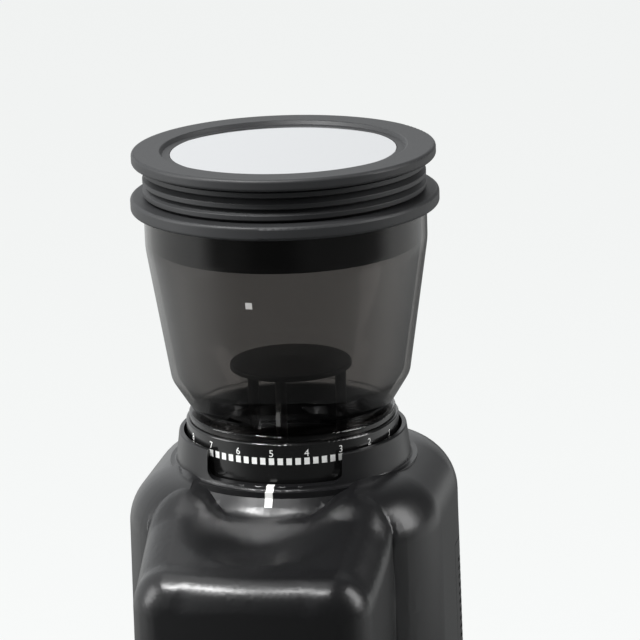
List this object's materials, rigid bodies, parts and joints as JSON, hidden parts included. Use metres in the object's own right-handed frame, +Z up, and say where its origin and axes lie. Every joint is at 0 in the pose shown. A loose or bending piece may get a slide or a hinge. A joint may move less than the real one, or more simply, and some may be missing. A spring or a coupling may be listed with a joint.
{
  "type": "burr coffee grinder",
  "caption": "Upright electric burr coffee grinder with a see-through bean hopper, a sprung bellows lid, a numbered grind ring, a front chute head and a pull-out grounds bin.",
  "frame": {"origin": "on the table surface under the hopper axis", "axes": "+Z up along the hopper axis, -Y towards the front (chute head and bin), +X to the object's right as the picture shows it"},
  "size_m": [0.1393, 0.1749, 0.3746],
  "materials": {
    "main_housing": "black satin moulding",
    "index_pointer": "white inlay",
    "rear_cover": "black satin moulding",
    "rear_screws": "machined",
    "base_plinth": "black satin moulding",
    "bottom_plate": "black matt",
    "bottom_screws": "machined",
    "rubber_feet": "matt rubber",
    "cord_gland": "matt rubber",
    "collar_seal": "felt",
    "grinding_chamber": "glass filled plastic",
    "chamber_screws": "machined",
    "discharge_chute": "black plastic",
    "upper_bearing": "machined",
    "lower_bearing": "machined",
    "gearbox_housing": "glass filled plastic",
    "gearbox_cover": "glass filled plastic",
    "gearbox_screws": "machined",
    "idler_pin": "machined",
    "motor_can": "zinc grey",
    "motor_end_cap": "black plastic",
    "motor_posts": "machined",
    "control_board": "green lacquer",
    "timer_module": "black plastic",
    "start_switch": "black plastic",
    "motor_shaft": "machined",
    "motor_pinion": "turned",
    "idler_wheel": "natural plastic",
    "idler_pinion": "machined",
    "idler_spacer": "turned",
    "burr_spindle": "machined",
    "main_gear": "natural plastic",
    "sweeper": "black plastic",
    "cone_burr": "machined",
    "burr_nut": "machined",
    "burr_carrier": "glass filled plastic",
    "ring_burr": "machined",
    "ring_burr_screws": "machined",
    "scale_ring": "gloss black with white scale",
    "hopper_bowl": "smoky see-through plastic",
    "finger_guard": "dark plastic",
    "lid_ring": "matt rubber",
    "lid_bellows": "matt rubber",
    "lid_cap": "matt rubber",
    "lid_mirror": "mirror polish",
    "timer_dial": "black satin",
    "dial_mark": "white inlay",
    "start_button": "dark grey satin",
    "grounds_bin": "smoky see-through plastic"
  },
  "bodies": {
    "housing": {"main_housing": "main_housing", "index_pointer": "index_pointer", "rear_cover": "rear_cover", "rear_screws": "rear_screws", "base_plinth": "base_plinth", "bottom_plate": "bottom_plate", "bottom_screws": "bottom_screws", "rubber_feet": "rubber_feet", "cord_gland": "cord_gland", "collar_seal": "collar_seal", "grinding_chamber": "grinding_chamber", "chamber_screws": "chamber_screws", "discharge_chute": "discharge_chute", "upper_bearing": "upper_bearing", "lower_bearing": "lower_bearing", "gearbox_housing": "gearbox_housing", "gearbox_cover": "gearbox_cover", "gearbox_screws": "gearbox_screws", "idler_pin": "idler_pin", "motor_can": "motor_can", "motor_end_cap": "motor_end_cap", "motor_posts": "motor_posts", "control_board": "control_board", "timer_module": "timer_module", "start_switch": "start_switch"},
    "motor_rotor": {"motor_shaft": "motor_shaft", "motor_pinion": "motor_pinion"},
    "idler": {"idler_wheel": "idler_wheel", "idler_pinion": "idler_pinion", "idler_spacer": "idler_spacer"},
    "spindle": {"burr_spindle": "burr_spindle", "main_gear": "main_gear", "sweeper": "sweeper", "cone_burr": "cone_burr", "burr_nut": "burr_nut"},
    "carrier": {"burr_carrier": "burr_carrier", "ring_burr": "ring_burr", "ring_burr_screws": "ring_burr_screws"},
    "ring": {"scale_ring": "scale_ring"},
    "hopper": {"hopper_bowl": "hopper_bowl", "finger_guard": "finger_guard"},
    "lid": {"lid_ring": "lid_ring", "lid_bellows": "lid_bellows"},
    "cap": {"lid_cap": "lid_cap", "lid_mirror": "lid_mirror"},
    "dial": {"timer_dial": "timer_dial", "dial_mark": "dial_mark"},
    "button": {"start_button": "start_button"},
    "bin": {"grounds_bin": "grounds_bin"}
  },
  "joints": [
    {"name": "grind_adjust", "type": "hinge", "parent": "housing", "child": "ring", "pos_m": [0, 0, 0.25], "axis": [0, 0, 1], "range_deg": [-74.9, 56.2]},
    {"name": "carrier_lift", "type": "slide", "parent": "housing", "child": "carrier", "axis": [0, 0, 1], "range_m": [-0.00085, 0.00065]},
    {"name": "hopper_lift", "type": "slide", "parent": "ring", "child": "hopper", "axis": [0, 0, 1], "range_m": [0, 0.06]},
    {"name": "lid_lift", "type": "slide", "parent": "hopper", "child": "lid", "axis": [0, 0, 1], "range_m": [0, 0.06]},
    {"name": "lid_press", "type": "slide", "parent": "lid", "child": "cap", "axis": [0, 0, -1], "range_m": [0, 0.008], "stiffness_N_per_m": 1500, "springref_m": -0.002, "deforming": ["lid_bellows"]},
    {"name": "burr_spin", "type": "hinge", "parent": "housing", "child": "spindle", "pos_m": [0, 0, 0.2], "axis": [0, 0, 1], "continuous": true},
    {"name": "idler_spin", "type": "hinge", "parent": "housing", "child": "idler", "pos_m": [0.02, 0.0196, 0.17], "axis": [0, 0, 1], "continuous": true},
    {"name": "motor_spin", "type": "hinge", "parent": "housing", "child": "motor_rotor", "pos_m": [0, 0.02531, 0.12], "axis": [0, 0, 1], "continuous": true},
    {"name": "dial_turn", "type": "hinge", "parent": "housing", "child": "dial", "pos_m": [0.064, -0.006, 0.095], "axis": [1, 0, 0], "range_deg": [-270, 0]},
    {"name": "button_press", "type": "slide", "parent": "housing", "child": "button", "axis": [0, 1, 0], "range_m": [0, 0.002], "stiffness_N_per_m": 800, "springref_m": -0.001},
    {"name": "bin_slide", "type": "slide", "parent": "housing", "child": "bin", "axis": [0, -1, 0], "range_m": [0, 0.11]}
  ],
  "couplings": [
    {"joint": "carrier_lift", "follows": "grind_adjust", "m_per_rad": 0.0006},
    {"joint": "idler_spin", "follows": "motor_spin", "ratio": -0.3},
    {"joint": "burr_spin", "follows": "motor_spin", "ratio": 0.081818}
  ]
}
